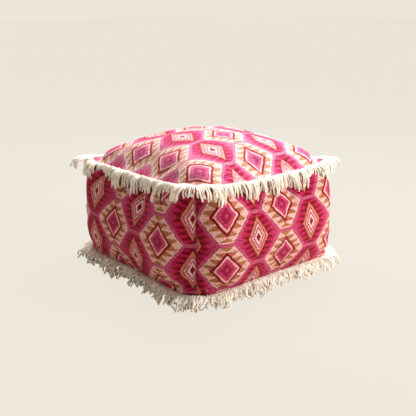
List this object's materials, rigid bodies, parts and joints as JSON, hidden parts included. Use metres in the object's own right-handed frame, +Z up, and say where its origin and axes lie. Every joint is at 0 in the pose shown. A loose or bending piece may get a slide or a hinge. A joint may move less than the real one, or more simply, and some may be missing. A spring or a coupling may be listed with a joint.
{
  "type": "floor cushion",
  "caption": "Square floor cushion with a crowned top, swollen sides, a zipped woven cover, brush fringe in the top and base seams, and a filled lining bag.",
  "frame": {"origin": "centre of the base, on the floor", "axes": "+Z up; the front is -Y and the right side is +X"},
  "size_m": [0.6528, 0.6528, 0.4129],
  "materials": {
    "kilim_cloth": "matte",
    "base_cloth": "matte",
    "cotton_fringe": "matte",
    "lining_cloth": "matte",
    "fibre_filling": "matte",
    "zip_tape": "matte",
    "zip_coil": "satin",
    "zip_metal": "satin"
  },
  "bodies": {
    "cushion": {"top_panel": "kilim_cloth", "right_panel": "kilim_cloth", "back_panel": "kilim_cloth", "left_panel": "kilim_cloth", "front_panel": "kilim_cloth", "base_panel_front": "base_cloth", "base_panel_back": "base_cloth", "top_fringe_heading": "cotton_fringe", "top_fringe_right": "cotton_fringe", "top_fringe_back": "cotton_fringe", "top_fringe_left": "cotton_fringe", "top_fringe_front": "cotton_fringe", "base_fringe_heading": "cotton_fringe", "base_fringe_right": "cotton_fringe", "base_fringe_back": "cotton_fringe", "base_fringe_left": "cotton_fringe", "base_fringe_front": "cotton_fringe", "insert_top": "lining_cloth", "insert_right": "lining_cloth", "insert_back": "lining_cloth", "insert_left": "lining_cloth", "insert_front": "lining_cloth", "insert_base": "lining_cloth", "filling": "fibre_filling", "zip_tape_front": "zip_tape", "zip_tape_back": "zip_tape", "zip_coil_front": "zip_coil", "zip_coil_back": "zip_coil", "zip_top_stops": "zip_metal", "zip_bottom_stop": "zip_metal"},
    "slider": {"zip_slider": "zip_metal"},
    "pull": {"zip_pull": "zip_metal"}
  },
  "joints": [
    {"name": "zip_slide", "type": "slide", "parent": "cushion", "child": "slider", "axis": [-1, 0, 0], "range_m": [0, 0.326]},
    {"name": "pull_hinge", "type": "hinge", "parent": "slider", "child": "pull", "pos_m": [0.163, 0, 0.00325], "axis": [0, 1, 0], "range_deg": [0, 180]}
  ]
}
